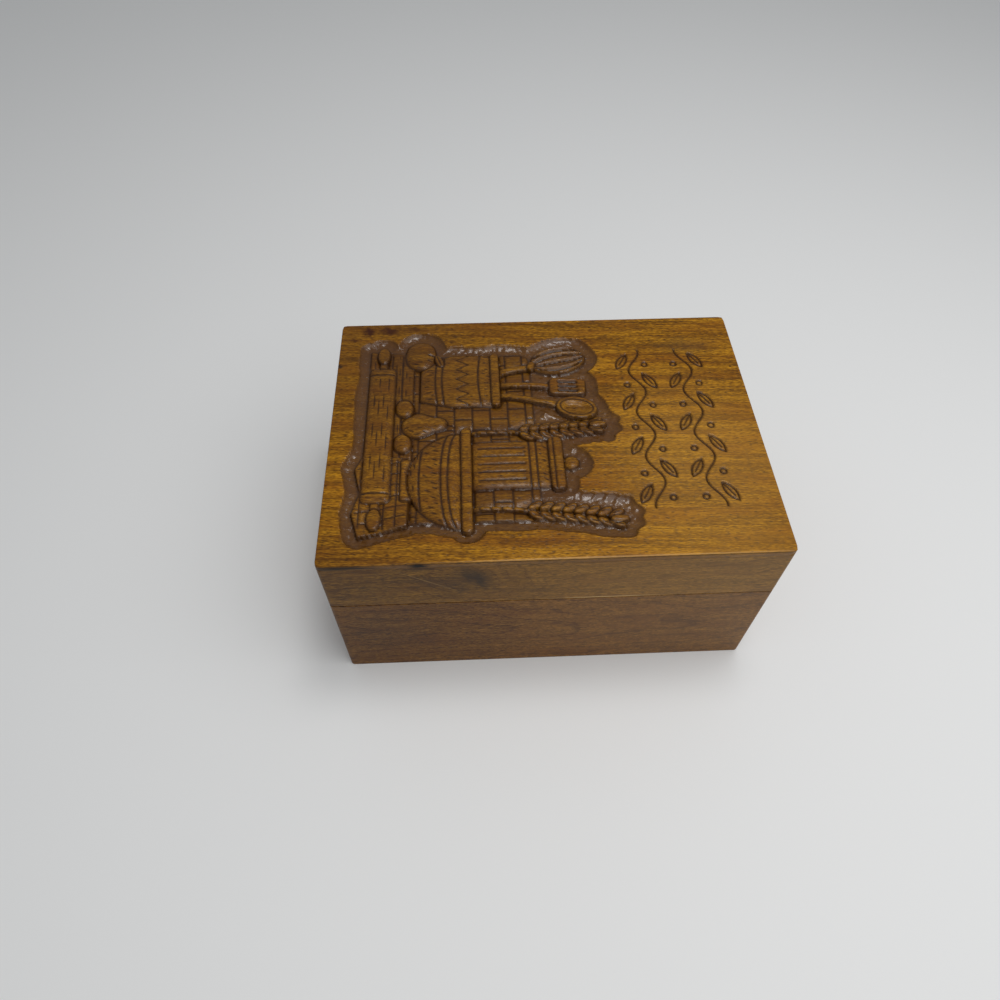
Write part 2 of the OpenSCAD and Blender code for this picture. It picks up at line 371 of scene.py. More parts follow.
@dataclass(frozen=True)
class Walnut:
    """Plain-sawn walnut under a thin hard varnish.

    Dark open pores run along the grain as short dashes, growth rings end in thin jagged dark lines
    that close in arches where the board leaves the ring, and the varnish gives a clear shine.

    Attributes:
        name: Name of the material.
        grain: Direction of the board's length.
        pith: Shift that puts the tree's middle at zero: along the grain, then across it, in metres.
        tilt: Angle between the board and the tree's axis, in degrees; it makes the arches.
        palette: Its colours.
        rings: Its growth rings.
        coat: Weight of the varnish layer.
        coat_roughness: Roughness of the varnish.
        pore_strength: How dark the pores are, from 0 to 1.
        figure: Weight of the broad bands of light and dark wood.
        marks: Knots, stains, and painted light, shade and highlights in this board.
        carved: Whether the board's own attributes darken its cuts.
    """

    name: str
    grain: Grain = Grain.ALONG_Y
    pith: Triple = (0.0, 0.0, 0.0)
    tilt: float = 4.0
    palette: Palette = Palette()
    rings: Rings = Rings()
    coat: float = 0.19
    coat_roughness: float = 0.2
    pore_strength: float = 0.8
    figure: float = 0.36
    marks: tuple[Mark, ...] = ()
    carved: bool = False

    def build(self) -> bpy.types.Material:
        """Builds the material.

        Returns:
            A material that reads Object coordinates, and the cut attributes on a carved board.
        """
        material, tree = new_material(self.name)
        place = add_node(tree, "TexCoord").outputs["Object"]
        trunk = self._trunk(tree, place)
        marks = [(mark, mark.distance(tree, place)) for mark in self.marks]
        streaks, fibre = STREAKS.noise(tree, trunk), FIBRE.noise(tree, trunk)
        warm = remap(tree, WARM_PATCHES.noise(tree, trunk), WARM_ENDS, (0.0, WARM_SHARE))
        pores = remap(tree, PORES.noise(tree, trunk), PORE_ENDS, (0.0, self.pore_strength))
        shade = self._tone(tree, trunk, streaks, fibre)
        shade = mix(tree, warm, shade, linear(self.palette.red))
        shade = mix(tree, self._late_wood(tree, trunk, marks), shade, linear(self.palette.ring))
        shade = mix(tree, pores, shade, linear(self.palette.pore))
        gaps = []
        for mark, distance in marks:
            amount = mark.amount(tree, distance)
            shade = mix(tree, amount, shade, linear(mark.colour))
            if mark.open:
                gaps.append((amount, 1.0))
        grooves = ((pores, -1.0), (fibre, FIBRE_HEIGHT), (streaks, STREAK_HEIGHT))
        normal = bump(tree, weighted_sum(tree, *grooves), strength=0.3, depth=PORE_DEPTH)
        varnish: object = self.coat
        if self.carved:
            shade, normal, varnish = self._carved(tree, place, shade, normal)
        if gaps:
            solid = compute(tree, "SUBTRACT", 1.0, weighted_sum(tree, *gaps), use_clamp=True)
            varnish = compute(tree, "MULTIPLY", varnish, solid)
        inputs = {
            "Base Color": shade,
            "Roughness": 0.5,
            "Specular IOR Level": 0.1,
            "Normal": normal,
            "Coat Weight": varnish,
            "Coat Roughness": self.coat_roughness,
            "Coat IOR": 1.5,
            "Coat Normal": normal,
        }
        surface(tree, inputs)
        return material

    def _trunk(self, tree: Tree, place: Socket) -> Socket:
        """Places this board in its tree: X runs along the trunk, Y and Z across it."""
        quarter = -math.pi / 2 if self.grain is Grain.ALONG_Y else 0.0
        inputs = {"Vector": place, "Rotation": (0.0, 0.0, quarter)}
        turned = add_node(tree, "Mapping", inputs).outputs[0]
        tilt = (0.0, 0.0, math.radians(self.tilt))
        inputs = {"Vector": turned, "Location": self.pith, "Rotation": tilt}
        return add_node(tree, "Mapping", inputs).outputs[0]

    def _tone(self, tree: Tree, trunk: Socket, streaks: Socket, fibre: Socket) -> Socket:
        """Dark, middle and light wood, by the sum of broad figure, streaks and fibre."""
        broad = (FIGURE.noise(tree, trunk), self.figure)
        tone = weighted_sum(tree, broad, (streaks, STREAK_WEIGHT), (fibre, FIBRE_WEIGHT))
        mean = 0.5 * (self.figure + STREAK_WEIGHT + FIBRE_WEIGHT)
        node = add_node(tree, "ValToRGB", {0: tone})
        stops = node.color_ramp.elements
        stops = (stops[0], stops.new(0.6), stops[-1])
        colours = (self.palette.dark, self.palette.middle, self.palette.light)
        for stop, shift, colour in zip(stops, (DARK_SHIFT, 0.0, LIGHT_SHIFT), colours):
            stop.position = mean + shift
            stop.color = linear(colour)
        return node.outputs["Color"]

    def _late_wood(self, tree: Tree, trunk: Socket, marks: list[tuple[Mark, Socket]]) -> Socket:
        """Dark line at the end of each growth ring.

        The distance from the tree's middle, in rings, is bent by slow noise and by knots and made
        jagged by fine noise; the line is where its fraction nears 1.
        """
        inputs = {0: trunk, 1: (0.0, 1.0, 1.0)}
        across = add_node(tree, "VectorMath", inputs, operation="MULTIPLY").outputs[0]
        terms = [
            (length(tree, across), 1 / self.rings.spacing),
            (RING_DRIFT.noise(tree, trunk), DRIFT_IN_RINGS),
            (RING_TEETH.noise(tree, trunk), self.rings.jag),
        ]
        for mark, gap in marks:
            if mark.bend:
                swell = remap(tree, gap, (KNOT_REACH, 0.0), (0.0, mark.bend), Curve.SMOOTH)
                terms.append((swell, 1.0))
        part = compute(tree, "FRACT", weighted_sum(tree, *terms))
        ends = (0.0, self.rings.strength)
        return remap(tree, part, (self.rings.start, RING_END), ends, Curve.SMOOTHER)

    def _carved(
        self, tree: Tree, place: Socket, shade: Socket, normal: Socket
    ) -> tuple[Socket, Socket, Socket]:
        """Stain and varnish that settled in the cuts, and the marks that the gouge left.

        Returns:
            The stained colour, the normal with gouge marks, and the weight of the varnish.
        """
        sunk, line, tool = (
            add_node(tree, "Attribute", attribute_name=name).outputs["Fac"]
            for name in ("sunk", "line", "tool")
        )
        settled = mix(tree, sunk, shade, linear(self.palette.cut))
        inked = mix(tree, line, settled, linear(self.palette.line))
        inputs = {"Vector": place, "Scale": 1 / GOUGE_MARK}
        cells = add_node(tree, "TexVoronoi", inputs, feature="SMOOTH_F1").outputs["Distance"]
        depth = compute(tree, "MULTIPLY", cells, tool)
        gouged = bump(tree, depth, strength=0.6, depth=GOUGE_DEPTH, below=normal)
        varnish = remap(tree, tool, (0.0, 1.0), (self.coat, POOLED_COAT))
        return inked, gouged, varnish


@dataclass(frozen=True)
class Brass:
    """Drawn brass, dulled by handling: a warm metal with a soft, slightly uneven shine.

    Attributes:
        name: Name of the material.
        colour: Colour of the clean metal.
        roughness: Roughness of the clean metal and of the dull metal.
        tarnish: Colour of the dull metal.
        patches: Number of dull patches to a metre.
        draw_line: Length, width and depth of a drawing line, in metres.
    """

    name: str
    colour: str = "#c9a35a"
    roughness: Pair = (0.22, 0.44)
    tarnish: str = "#9a7636"
    patches: float = 260.0
    draw_line: Triple = (0.012, 0.0003, 0.0003)

    def build(self) -> bpy.types.Material:
        """Builds the material."""
        material, tree = new_material(self.name)
        place = add_node(tree, "TexCoord").outputs["Object"]
        dull = noise(tree, place, self.patches, 4.0)
        drawn = noise(tree, in_grains(tree, place, self.draw_line), 1.0, 2.0)
        inputs = {
            "Base Color": mix(tree, dull, linear(self.colour), linear(self.tarnish)),
            "Roughness": remap(tree, dull, (0.0, 1.0), self.roughness),
            "Metallic": 1.0,
            "Normal": bump(tree, drawn, strength=0.25, depth=0.00006),
        }
        surface(tree, inputs)
        return material


def smoothstep(low: float, high: float, value: Grid) -> Grid:
    """Rises smoothly from 0 at low to 1 at high."""
    t = np.clip((value - low) / (high - low), 0.0, 1.0)
    return t * t * (3.0 - 2.0 * t)


def dome(offset: Grid, half: float) -> Grid:
    """Half an ellipse of height 1 over a width of twice half."""
    return np.sqrt(np.clip(1.0 - (offset / half) ** 2, 0.0, 1.0))


def spaced(offset: Grid, pitch: float) -> Grid:
    """Distance to the nearest of many lines, one of which is at zero."""
    return np.abs((offset / pitch + 0.5) % 1.0 - 0.5) * pitch


def melt(first: Grid, second: Grid, size: float) -> Grid:
    """Union of two shapes whose joint is filled with a fillet of that size."""
    h = np.clip(0.5 + 0.5 * (second - first) / size, 0.0, 1.0)
    return second * (1 - h) + first * h - size * h * (1 - h)


def scallops(x: Grid, y: Grid, size: float) -> Grid:
    """Shallow scoops side by side: the squared distance to the nearest scoop's middle, less 0.2.

    The middles lie in a square grid, each moved by sines of its row and column.
    """
    nearest = np.full_like(x, np.inf)
    for step_x in (-1, 0, 1):
        for step_y in (-1, 0, 1):
            column, row = np.floor(x / size) + step_x, np.floor(y / size) + step_y
            middle_x = (column + 0.5 + 0.38 * np.sin(12.9 * column + 78.2 * row)) * size
            middle_y = (row + 0.5 + 0.38 * np.sin(39.3 * column + 11.1 * row)) * size
            nearest = np.minimum(nearest, (x - middle_x) ** 2 + (y - middle_y) ** 2)
    return nearest / size**2 - 0.2


# How far a motif reaches past its outline, how far off an outline still counts as near, and how
# fast the set-in cut, the stain and a line at its shape's edge fade, in millimetres.
ON_MOTIF = 0.06
EDGE_RANGE = 4.0
SET_IN_FADE = 2.6
STAIN_FADE = 1.6
LINE_FADE = 0.8
# A rolled edge takes this share of a quarter circle, so that it nowhere stands upright.
ROLL_SHARE = 0.98
# Middle and width of the stained line along an outline, how far a cut runs on beyond its width,
# and how far off a cut's middle counts as lying from an edge, in millimetres.
OUTLINE_MIDDLE = 0.25
OUTLINE_WIDTH = 0.75
CUT_MARGIN = 0.25
CUT_OFFSET = 0.15
# A stroke of hatching takes this share of its length with its gap, and tapers this fast.
STROKE_SHARE = 0.8
STROKE_TAPER = 3.2
# Stain at the bottom of a cut before it is held at LINE_STAIN.
CUT_STAIN = 1.35
# Amount of stain in a cut line, along an outline, on a motif, more where it is low, and beside it.
LINE_STAIN = 0.95
OUTLINE_STAIN = 0.9
MOTIF_STAIN = 0.36
LOW_STAIN = 0.3
HALO_STAIN = 0.55


@dataclass
class Relief:
    """A carved surface: its height over the board's face, in millimetres.

    Motifs are laid and cut from back to front. A shape is the signed distance to its outline at
    every grid point, negative inside.

    Attributes:
        x: X of each grid point.
        y: Y of each grid point.
        height: Height over the board's face, which is 0 where nothing is cut.
        line: Amount of stain in cut lines and along outlines.
        tool: Strength of the gouge marks.
        stain: Amount of stain on sunken wood.
        silhouette: Distance to the nearest motif.
        edge_gap: Distance to the nearest outline or cut.
    """

    x: Grid
    y: Grid
    height: Grid = field(init=False)
    line: Grid = field(init=False)
    tool: Grid = field(init=False)
    stain: Grid = field(init=False)
    silhouette: Grid = field(init=False)
    edge_gap: Grid = field(init=False)

    def __post_init__(self) -> None:
        """Starts from an uncut board."""
        for name in ("height", "line", "tool", "stain"):
            setattr(self, name, np.zeros_like(self.x))
        for name in ("silhouette", "edge_gap"):
            setattr(self, name, np.full_like(self.x, np.inf))

    def turned(self, centre: Pair, degrees: float) -> tuple[Grid, Grid]:
        """Coordinates about a centre, in a frame turned by that angle."""
        c, s = math.cos(math.radians(degrees)), math.sin(math.radians(degrees))
        dx, dy = self.x - centre[0], self.y - centre[1]
        return dx * c + dy * s, dy * c - dx * s

    def disc(self, centre: Pair, radius: float) -> Grid:
        """A round disc."""
        return np.hypot(self.x - centre[0], self.y - centre[1]) - radius

    def oval(self, centre: Pair, half: Pair, turn: float = 0.0) -> Grid:
        """An ellipse of the given half sizes, turned in degrees; true to first order."""
        u, v = self.turned(centre, turn)
        k = np.hypot(u / half[0], v / half[1])
        slope = np.hypot(u / half[0] ** 2, v / half[1] ** 2)
        return np.where(k < 1e-6, -min(half), k * (k - 1.0) / np.maximum(slope, 1e-9))

    def bar(
        self, start: Pair, end: Pair, radius: float = 0.0, end_radius: float | None = None
    ) -> Grid:
        """A bar with round ends, which may taper to end_radius."""
        along = np.array(end) - np.array(start)
        dx, dy = self.x - start[0], self.y - start[1]
        t = np.clip((dx * along[0] + dy * along[1]) / float(along @ along), 0.0, 1.0)
        gap = np.hypot(dx - t * along[0], dy - t * along[1])
        return gap - (radius + t * ((radius if end_radius is None else end_radius) - radius))

    def block(self, centre: Pair, half: Pair, corner: float = 0.0, turn: float = 0.0) -> Grid:
        """A rectangle with round corners, turned in degrees."""
        u, v = self.turned(centre, turn)
        u, v = np.abs(u) - half[0] + corner, np.abs(v) - half[1] + corner
        outside = np.hypot(np.maximum(u, 0.0), np.maximum(v, 0.0))
        return outside + np.minimum(np.maximum(u, v), 0.0) - corner

    def outline(self, points: list[Pair]) -> Grid:
        """A polygon: nearest edge, negative where a ray crosses it an odd number of times."""
        nearest = np.full_like(self.x, np.inf)
        inside = np.zeros(self.x.shape, bool)
        for (x0, y0), (x1, y1) in zip(points, points[1:] + points[:1]):
            nearest = np.minimum(nearest, self.bar((x0, y0), (x1, y1)))
            crosses = (y0 > self.y) != (y1 > self.y)
            if y0 != y1:
                inside ^= crosses & (self.x < (x1 - x0) * (self.y - y0) / (y1 - y0) + x0)
        return np.where(inside, -nearest, nearest)

    def onto_edges(self, reach: float) -> tuple[Grid, Grid]:
        """Moves grid points that lie close to an outline or a cut right onto it.

        The move is minus half the slope of the squared distance, exact for a straight line.

        Args:
            reach: Largest move, in millimetres.

        Returns:
            The moved X and Y.
        """
        squared = np.minimum(self.edge_gap, EDGE_RANGE) ** 2
        step_x = -0.5 * np.gradient(squared, axis=0) / np.gradient(self.x, axis=0)
        step_y = -0.5 * np.gradient(squared, axis=1) / np.gradient(self.y, axis=1)
        size = np.maximum(np.hypot(step_x, step_y), 1e-9)
        scale = np.where(self.edge_gap < reach, np.minimum(1.0, reach / size), 0.0)
        return self.x + step_x * scale, self.y + step_y * scale

    def lay(
        self,
        shape: Grid,
        level: float | Grid = 0.0,
        roll: float = 2.2,
        drop: float = 0.8,
        sink: float = 1.1,
        tool: float = 0.15,
    ) -> None:
        """Stands one motif in front of what is there.

        Its top is at level and rolls down by drop over the last roll millimetres. What lies behind
        is cut down by sink at its outline, fading out with distance. Stain settles along the
        outline, and more of it on the motif where that lies deeper.

        Args:
            shape: The motif.
            level: Height of its top over the board's face.
            roll: Width of the rounded edge.
            drop: Depth of the rounded edge.
            sink: Depth of the set-in cut around it.
            tool: Strength of the gouge marks on it.
        """
        inside = shape < ON_MOTIF
        beyond = np.maximum(shape, 0.0)
        self.edge_gap = np.minimum(self.edge_gap, np.abs(shape))
        rise = 1.0 - np.clip(-shape / roll, 0.0, 1.0)
        top = level - drop * (1.0 - np.sqrt(1.0 - rise**2 * ROLL_SHARE))
        behind = self.height - sink * np.exp(-beyond / SET_IN_FADE)
        self.height = np.where(inside, np.minimum(top, 0.0), behind)
        edge = OUTLINE_STAIN * np.exp(-(((shape - OUTLINE_MIDDLE) / OUTLINE_WIDTH) ** 2))
        self.line = np.maximum(np.where(inside, 0.0, self.line), edge)
        self.tool = np.where(inside, tool, self.tool)
        shade = MOTIF_STAIN + LOW_STAIN * smoothstep(0.2, 1.6, -self.height)
        halo = np.maximum(self.stain, HALO_STAIN * np.exp(-beyond / STAIN_FADE))
        self.stain = np.where(inside, shade, halo)
        self.silhouette = np.minimum(self.silhouette, shape)

    def cut(
        self, gap: Grid, width: float = 1.4, depth: float = 0.7, inside: Grid | None = None
    ) -> None:
        """Cuts a V-shaped line where gap, the distance from its middle, is small.

        Args:
            gap: Distance from the middle of the line.
            width: Width of the cut at the surface.
            depth: Depth of the cut.
            inside: Shape that the line stays in.
        """
        wall = np.clip(1.0 - gap / (width / 2 + CUT_MARGIN), 0.0, 1.0)
        self.edge_gap = np.minimum(self.edge_gap, np.abs(gap) + CUT_OFFSET)
        if inside is not None:
            wall = wall * smoothstep(0.0, LINE_FADE, -inside)
        self.height = self.height - depth * wall
        self.line = np.maximum(self.line, np.clip(CUT_STAIN * wall, 0.0, LINE_STAIN))

    def cut_levels(
        self, offset: Grid, levels: tuple[float, ...], width: float, depth: float, inside: Grid
    ) -> None:
        """Cuts a line through a shape wherever offset has one of the levels."""
        for level in levels:
            self.cut(np.abs(offset - level), width, depth, inside)

    def hatch(
        self,
        inside: Grid,
        spacing: float,
        turn: float,
        dash: float,
        width: float = 0.9,
        depth: float = 0.35,
    ) -> None:
        """Cuts rows of short parallel strokes; every second row is shifted by half a stroke.

        Args:
            inside: Shape that the strokes fill.
            spacing: Distance between rows.
            turn: Angle of the rows, in degrees.
            dash: Length of a stroke with its gap.
            width: Width of a stroke.
            depth: Depth of a stroke.
        """
        u, v = self.turned((0.0, 0.0), turn)
        row = np.round(v / spacing)
        gap = np.abs(v - row * spacing)
        part = (u / dash + 0.5 * (row % 2) + 0.13 * np.sin(row * 2.4)) % 1.0
        taper = np.clip(STROKE_TAPER * np.minimum(part, STROKE_SHARE - part), 0.0, 1.0)
        self.cut(gap + (1.0 - taper) * width, width, depth, inside)

    def ridge(self, gap: Grid, width: float, rise: float, inside: Grid) -> None:
        """Leaves a rounded ridge standing within a shape where gap is small."""
        crest = dome(gap, width / 2) * smoothstep(0.0, LINE_FADE, -inside)
        self.height = np.minimum(self.height + rise * crest, 0.0)
        self.line = self.line * (1.0 - crest)


@dataclass
class StillLife:
    """The carved picture: kitchen things on a table before a tiled wall.

    Attributes:
        ground: Depth of the sunken ground around the picture, in millimetres.
        trench: Width of that ground.
        scoop: Width of one scoop of the gouge in it.
        stain: Amount of stain in it.
    """

    ground: float = 3.0
    trench: float = 7.5
    scoop: float = 3.4
    stain: float = 0.82

    def carve(self, relief: Relief) -> None:
        """Carves every motif into a board from back to front, then the ground around them."""
        self._wall(relief)
        self._wheat(relief, (57.0, -44.0), (66.0, 34.0), 9.0)
        self._wheat(relief, (3.0, -44.0), (-1.0, 30.0), -6.0)
        self._canister(relief)
        self._whisk(relief)
        self._turner(relief)
        self._spoon(relief)
        self._crock(relief)
        self._table(relief)
        self._cloth(relief)
        self._bowl(relief)
        self._fruit(relief)
        self._rolling_pin(relief)
        self._sunken_ground(relief)

    def _wall(self, r: Relief) -> None:
        """Tiled wall in running bond."""
        wide, high = 15.0, 10.5
        shape = r.block((2.0, -48.0), (63.0, 42.0), 7.0)
        r.lay(shape, -1.3, roll=1.6, drop=0.5, sink=0.0)
        odd_row = np.floor(r.y / high) % 2
        upright = spaced(r.x + odd_row * wide / 2, wide)
        r.cut(np.minimum(spaced(r.y, high), upright), 1.3, 0.5, shape)

    def _wheat(self, r: Relief, foot: Pair, tip: Pair, lean: float) -> None:
        """One ear of wheat: paired kernels along a gently bent stem, with a kernel at its tip."""
        stem = [self._on_stem(foot, tip, lean, share) for share in np.linspace(0.0, 1.0, 14)]
        for here, ahead in zip(stem, stem[1:]):
            r.lay(r.bar(here, ahead, 1.3), -0.3, roll=1.0, sink=0.5)
        for share in np.linspace(0.42, 0.97, 8):
            x, y = self._on_stem(foot, tip, lean, share)
            for side in (-1, 1):
                middle = (x + side * 3.2, y + 2.0)
                kernel = r.oval(middle, (2.2, 4.6), -side * 28.0)
                r.lay(kernel, roll=2.1, drop=1.3, sink=0.9)
                crease = r.bar((middle[0], middle[1] - 2.0), (middle[0] + side, middle[1] + 2.5))
                r.cut(crease, 0.8, 0.3, kernel)
        r.lay(r.oval((tip[0], tip[1] + 1.0), (2.1, 5.0)), roll=1.8, drop=0.9, sink=0.7)

    @staticmethod
    def _on_stem(foot: Pair, tip: Pair, lean: float, share: float) -> Pair:
        """A point on the stem: the line from foot to tip, moved by lean * (share^2 - share)."""
        bend = lean * (share**2 - share)
        return foot[0] + (tip[0] - foot[0]) * share + bend, foot[1] + (tip[1] - foot[1]) * share

    def _canister(self, r: Relief) -> None:
        """Lidded canister with a reeded side."""
        middle = 27.0
        r.lay(r.disc((middle, 12.5), 4.8), -0.1, roll=4.2, drop=1.9)
        body = r.block((middle, -21.0), (16.8, 25.0), 2.0)
        r.lay(body, -0.4, roll=7.0, drop=1.8)
        reeded = r.block((middle, -26.0), (15.5, 14.0), 0.5)
        r.cut(spaced(r.x - middle, 5.6), 1.3, 0.6, reeded)
        r.cut_levels(r.y, (-10.5, -6.5), 1.3, 0.6, body)
        r.hatch(np.maximum(body, np.abs(r.y + 1.9) - 3.4), 2.9, 62.0, 7.0)
        cap = r.block((middle, 4.6), (18.8, 4.0), 3.0)
        r.lay(cap, roll=2.0)
        r.cut_levels(r.y, (3.4,), 1.2, 0.5, cap)

    def _whisk(self, r: Relief) -> None:
        """Balloon whisk: a handle with a collar, and five wires that meet at its ends."""
        head, half, lean = (-54.6, 12.0), (11.5, 17.5), 12.0
        balloon = r.oval(head, half, lean)
        r.lay(balloon, -1.5, roll=1.4, drop=0.4, sink=0.8, tool=0.5)
        u, v = r.turned(head, lean)
        belly = dome(v, half[1])
        for share, spread in ((-0.9, 0.85), (-0.5, 0.85), (0.0, 1.0), (0.5, 0.85), (0.9, 0.85)):
            wire = np.abs(u - share * half[0] * belly) * spread
            r.ridge(wire, 2.4, 1.4, balloon)
            r.cut(np.abs(wire - 1.6), 0.9, 0.3, balloon)
        r.lay(r.bar((-49.0, -8.0), (-44.0, -30.0), 2.0, 2.8), roll=1.8)
        r.lay(r.bar((-51.2, -4.6), (-48.4, -5.4), 2.2), roll=1.2)

    def _turner(self, r: Relief) -> None:
        """Slotted wooden turner."""
        r.lay(r.bar((-35.0, -28.0), (-32.8, 6.0), 1.9), -0.1, roll=1.6)
        blade = r.block((-31.8, 16.0), (6.6, 11.0), 3.0, -3.0)
        r.lay(blade, -0.1, roll=1.5)
        for x in (-35.4, -32.0, -28.6):
            slot = r.bar((x, 11.0), (x + 0.8, 21.5), 0.5)
            r.cut(np.maximum(slot, 0.0), 1.4, 1.3, blade)

    def _spoon(self, r: Relief) -> None:
        """Wooden spoon with a dished bowl."""
        r.lay(r.bar((-27.0, -28.0), (-17.5, 10.0), 1.9), roll=1.6)
        bowl = r.oval((-14.2, 20.0), (8.4, 12.2), -14.0)
        r.lay(bowl, roll=1.4, drop=0.6)
        r.height = r.height - 1.5 * smoothstep(2.2, 7.2, -bowl)
        r.cut(np.abs(bowl + 2.4), 1.1, 0.35)

    def _crock(self, r: Relief) -> None:
        """Stoneware crock with a rolled rim, bands and a zigzag."""
        left = [(-19.5, -28.0), (-59.5, -28.0), (-60.0, -52.0)]
        body = r.outline([(-55.0, -71.5), (-24.0, -71.5), (-19.0, -52.0), *left]) - 1.5
        r.lay(body, roll=8.0, drop=2.1)
        sag = 1.5 * np.sin((r.x + 60.0) / 41.0 * math.pi)
        r.cut_levels(r.y + sag, (-36.5, -58.5, -62.5), 1.4, 0.6, body)
        zigzag = spaced(r.x + 39.5, 8.2) * 15.0 / 8.2
        r.cut(np.abs(r.y + 51.2 - zigzag) * 0.7, 1.3, 0.55, body)
        r.hatch(np.maximum(body, np.abs(r.y + 67.5) - 3.2), 2.4, 90.0, 9.0)
        r.hatch(np.maximum(body, np.abs(r.y + 32.6) - 2.2), 2.8, 90.0, 8.0)
        r.lay(r.bar((-59.0, -27.5), (-20.0, -27.5), 2.7), roll=2.4)

    def _table(self, r: Relief) -> None:
        """Plank table seen from a little above, with a front edge."""
        top = r.outline([(-65.5, -103.0), (65.5, -103.0), (62.0, -78.0), (-62.0, -78.0)])
        r.lay(top - 1.0, -0.9, roll=1.4, drop=0.5, sink=0.7)
        r.cut_levels(r.y, (-84.0, -90.5), 1.2, 0.5, top)
        r.hatch(top + 1.0, 2.2, 0.0, 15.0, 0.8, 0.25)

    def _cloth(self, r: Relief) -> None:
        """Checked cloth that hangs over the table's front edge at the right."""
        hem = [(72.0, -103.0), (58.0, -107.0), (44.0, -103.5), (28.0, -107.0), (17.0, -103.0)]
        shape = r.outline([(22.0, -79.0), (66.0, -79.0), *hem])
        folds = 0.35 * np.sin((r.x - 0.35 * r.y) / 3.4)
        r.lay(shape - 1.0, -0.3 + folds, roll=1.4, drop=0.5)
        upright = spaced(r.x + 0.2 * (r.y + 80.0), 7.5)
        r.cut(np.minimum(upright, spaced(r.y, 6.5)), 1.1, 0.4, shape)

    def _bowl(self, r: Relief) -> None:
        """Mixing bowl: part of a round belly on a foot ring, striped below its rolled rim."""
        middle, rim, reach = 36.0, -46.0, 33.5
        r.lay(r.block((middle, -79.0), (14.0, 3.6), 1.5), roll=1.6)
        belly = np.maximum(r.oval((middle, rim), (reach, 33.0)), r.y - rim)
        r.lay(belly, roll=11.0, drop=2.4)
        curve = r.y - rim + 6.0 * dome(r.x - middle, reach)
        r.cut_levels(curve, (-4.62, -8.58, -20.46), 1.5, 0.6, belly)
        r.hatch(np.maximum(belly, np.abs(curve + 14.4) - 4.4), 3.1, 70.0, 9.5)
        r.hatch(np.maximum(belly, curve + 21.5), 2.6, 8.0, 11.0)
        r.lay(r.bar((middle - reach, rim), (middle + reach, rim), 3.0), roll=2.6)

    def _fruit(self, r: Relief) -> None:
        """An apple and a pear on the table, and two eggs."""
        apple = melt(r.disc((-65.0, -73.0), 9.0), r.disc((-58.5, -73.0), 9.0), 4.0)
        r.lay(apple, roll=6.5, drop=2.2)
        r.hatch(np.maximum(apple + 0.8, -58.0 - r.x), 2.2, 80.0, 8.0, 0.8, 0.3)
        r.cut(r.bar((-62.0, -68.5), (-60.5, -62.0)), 1.5, 0.7)
        leaf = r.oval((-55.8, -61.6), (5.2, 2.4), 20.0)
        r.lay(leaf, roll=1.4, sink=0.6)
        r.cut(r.bar((-59.5, -62.8), (-52.0, -60.3)), 0.9, 0.4, leaf)
        pear = melt(r.disc((-4.0, -74.0), 9.4), r.disc((-4.6, -61.5), 4.8), 7.0)
        r.lay(pear, roll=6.5, drop=2.2)
        r.hatch(np.maximum(pear + 0.8, -2.0 - r.x), 2.2, 84.0, 8.0, 0.8, 0.3)
        r.cut(r.bar((-4.6, -57.5), (-2.6, -52.5)), 1.5, 0.7)
        for centre in ((-17.5, -82.0), (9.5, -82.5)):
            r.lay(r.oval(centre, (7.0, 5.4), 10.0), roll=4.8, drop=2.1)

    def _rolling_pin(self, r: Relief) -> None:
        """Rolling pin in front of everything, with turned handles."""
        axis = -96.0
        for side in (-1, 1):
            r.lay(r.bar((side * 50.0, axis), (side * 58.0, axis), 2.2), roll=2.0)
            r.lay(r.oval((side * 62.0, axis), (7.0, 3.9)), roll=2.6)
        barrel = r.block((0.0, axis), (51.0, 8.0), 3.0)
        r.lay(barrel, roll=6.5, drop=2.1)
        r.cut_levels(r.x, (-45.0, 45.0), 1.3, 0.5, barrel)
        r.hatch(np.maximum(barrel + 1.5, np.abs(r.x) - 42.0), 2.7, 0.0, 23.0, 0.9, 0.3)

    def _sunken_ground(self, r: Relief) -> None:
        """The trench around the picture: deepest at the motifs, rising in a cove to a wavy edge.

        Its depth is ground * (1 - share^2.8)^0.7, where share is the way across it.
        """
        waves = 0.6 * np.sin(r.x / 8.3 + 1.0) * np.cos(r.y / 7.1) + 0.3 * np.sin((r.x + r.y) / 3.9)
        gap, width = r.silhouette, self.trench + waves
        beyond = gap > ON_MOTIF
        share = np.clip(gap / width, 0.0, 1.0)
        inner = 1.0 - share
        trench = beyond & (share < 0.999)
        depth = self.ground * (1.0 - share**2.8) ** 0.7
        scoops = 0.3 * scallops(r.x, r.y, self.scoop) * smoothstep(0.05, 0.4, inner)
        r.edge_gap = np.where(beyond, np.minimum(gap, np.abs(gap - width)), r.edge_gap)
        r.height = np.where(beyond, np.where(trench, scoops - depth, 0.0), r.height)
        r.line = np.where(beyond, OUTLINE_STAIN * np.exp(-((gap / 1.1) ** 2)), r.line)
        r.tool = np.where(beyond, 0.0, r.tool)
        r.tool = np.where(trench, 0.6 + 0.4 * smoothstep(0.1, 0.4, inner), r.tool)
        r.stain = np.where(beyond, self.stain * smoothstep(0.0, 0.06, inner), r.stain)


